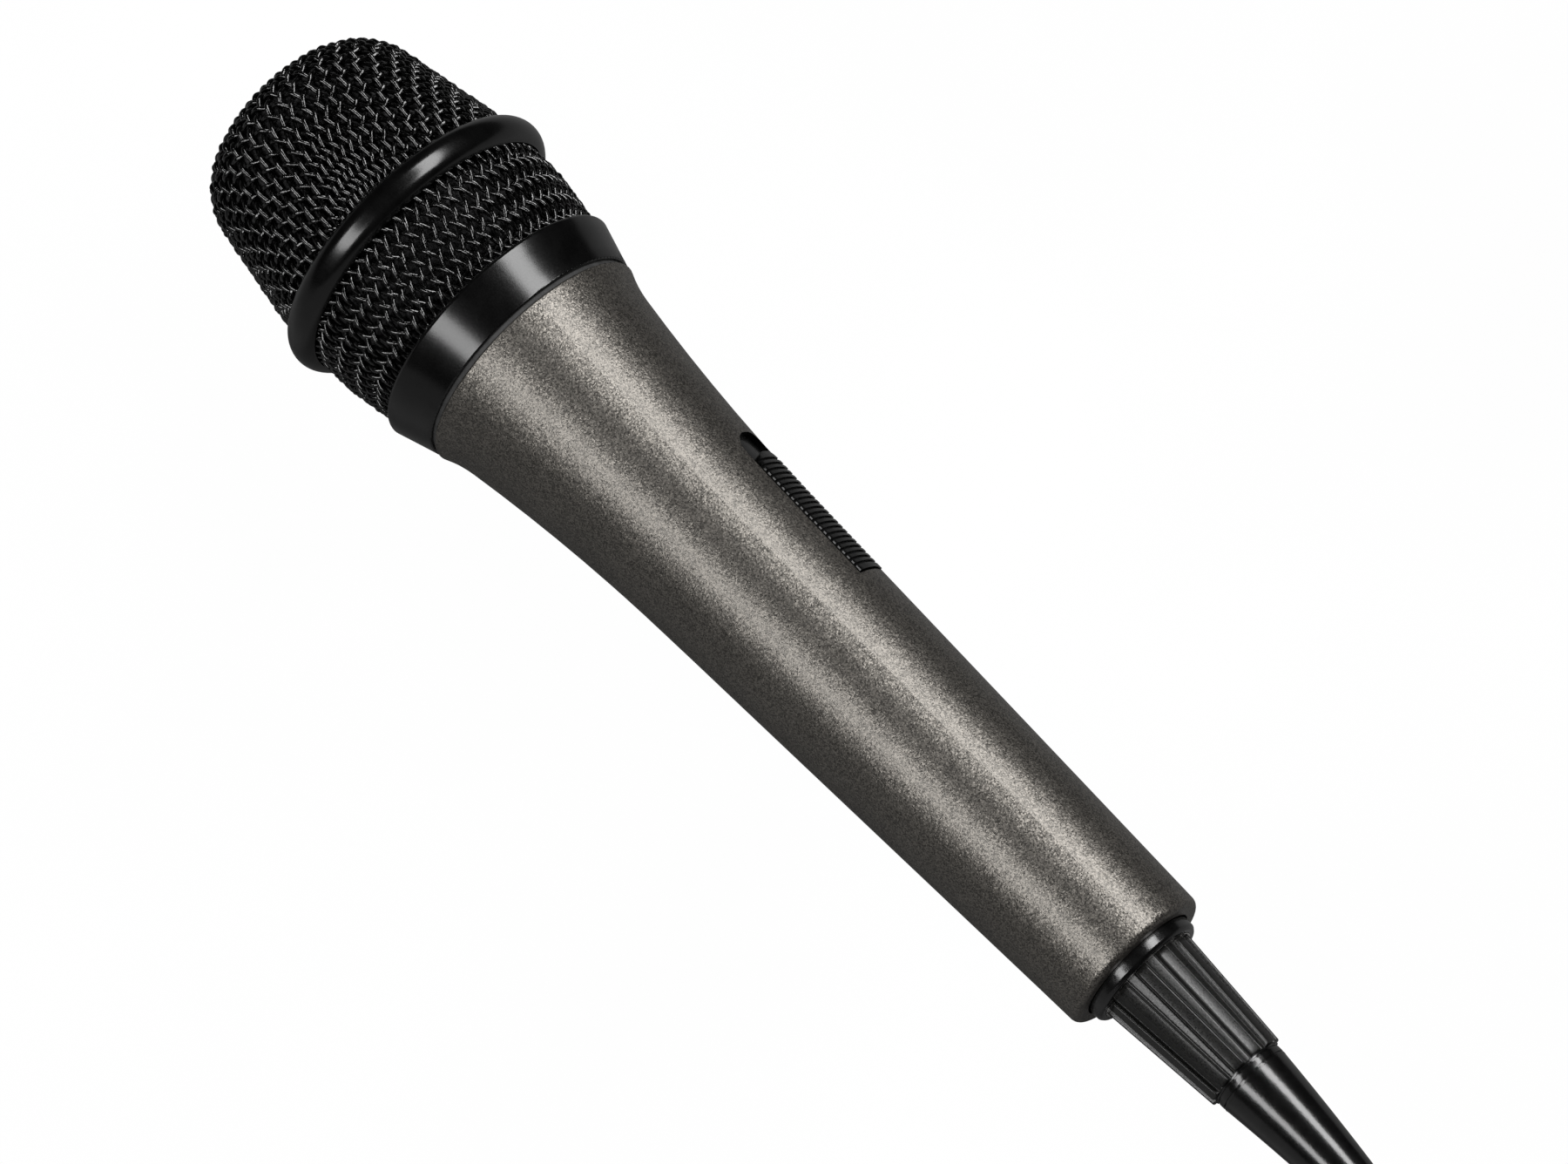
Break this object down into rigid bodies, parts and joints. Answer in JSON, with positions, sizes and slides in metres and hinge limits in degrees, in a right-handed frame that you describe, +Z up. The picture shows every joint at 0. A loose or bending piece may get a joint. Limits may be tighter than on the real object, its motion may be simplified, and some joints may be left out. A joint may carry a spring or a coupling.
{
  "type": "dynamic microphone",
  "caption": "Hand-held vocal microphone with woven wire head, flared metallic handle, side slide switch, plug in the tail and a lead, tied in a hank, that ends in a jack plug.",
  "frame": {"origin": "bottom centre of the box round the microphone and its plug as they lie on a flat surface, without the free lead", "axes": "+Z up; +X along the microphone from tail to head, whose axis rises 4.67 degrees towards the head because it rests on the grille's band and the tail's edge"},
  "size_m": [0.4008, 0.0826, 0.056],
  "materials": {
    "handle_paint": "dark gunmetal metallic paint with a fine sparkle",
    "black_metal": "satin black",
    "mesh_wire": "gloss black woven wire",
    "foam": "open-cell black foam",
    "bare_alloy": "turned",
    "soft_rubber": "matt black",
    "capsule_plastic": "moulded black",
    "steel": "plated steel",
    "magnet": "nickel-plated magnet",
    "screen_cloth": "fine woven silk",
    "contact_metal": "plated contacts",
    "red_insulation": "insulated wire",
    "white_insulation": "insulated wire",
    "switch_plastic": "black moulded, cross ribs",
    "insulator": "black nylon",
    "film": "thin polyester film",
    "copper": "enamelled copper winding",
    "nickel": "nickel plate",
    "plug_plastic": "semi-gloss black",
    "boot_vinyl": "smooth black vinyl",
    "cord_vinyl": "black vinyl jacket",
    "tie_fabric": "black hook-and-loop strap"
  },
  "bodies": {
    "handle": {"handle_shell": "handle_paint", "neck_insert": "bare_alloy", "shock_mount": "soft_rubber", "capsule_housing": "capsule_plastic", "capsule_frame": "capsule_plastic", "capsule_yoke": "steel", "capsule_magnet": "magnet", "capsule_pole": "steel", "diaphragm_ring": "capsule_plastic", "capsule_cap": "capsule_plastic", "capsule_screen": "screen_cloth", "capsule_terminals": "contact_metal", "capsule_leads": "red_insulation", "switch_carrier": "switch_plastic", "switch_frame": "steel", "switch_body": "steel", "switch_screws": "steel", "switch_terminals": "contact_metal", "switch_leads": "white_insulation", "tail_insert": "insulator", "xlr_pins": "contact_metal", "insert_screw": "steel"},
    "gasket": {"collar_gasket": "soft_rubber"},
    "head": {"grille_collar": "black_metal", "grille_skirt": "mesh_wire", "grille_band": "black_metal", "grille_dome": "mesh_wire", "foam_windscreen": "foam"},
    "slider": {"switch_slider": "switch_plastic", "switch_lever": "switch_plastic", "switch_contact": "contact_metal"},
    "diaphragm": {"diaphragm": "film", "voice_coil": "copper"},
    "plug": {"plug_sleeve": "nickel", "plug_flange": "plug_plastic", "plug_grip": "plug_plastic", "plug_insert": "insulator", "plug_sockets": "contact_metal", "plug_clamp": "insulator", "plug_collar": "plug_plastic", "plug_boot": "boot_vinyl", "cord_lead": "cord_vinyl", "cord_hank": "cord_vinyl", "cord_tie": "tie_fabric", "cord_tail": "cord_vinyl", "jack_boot": "boot_vinyl", "jack_handle": "plug_plastic", "jack_sleeve": "nickel", "jack_insulator": "insulator", "jack_tip": "nickel"}
  },
  "joints": [
    {"name": "head_advance", "type": "slide", "parent": "handle", "child": "gasket", "axis": [0.9967, 0, 0.0815], "range_m": [0, 0.005]},
    {"name": "head_turn", "type": "hinge", "parent": "gasket", "child": "head", "pos_m": [0.08671, 0, 0.02678], "axis": [0.9967, 0, 0.0815], "range_deg": [0, 1440]},
    {"name": "switch_slide", "type": "slide", "parent": "handle", "child": "slider", "axis": [0.9967, 0, 0.0815], "range_m": [0, 0.0044]},
    {"name": "plug_pull", "type": "slide", "parent": "handle", "child": "plug", "axis": [-0.9967, 0, -0.0815], "range_m": [0, 0.016]},
    {"name": "diaphragm_travel", "type": "slide", "parent": "handle", "child": "diaphragm", "axis": [0.9967, 0, 0.0815], "range_m": [-0.0002, 0.0002], "stiffness_N_per_m": 90}
  ],
  "couplings": [
    {"joint": "head_turn", "follows": "head_advance", "rad_per_m": 5026.5}
  ]
}
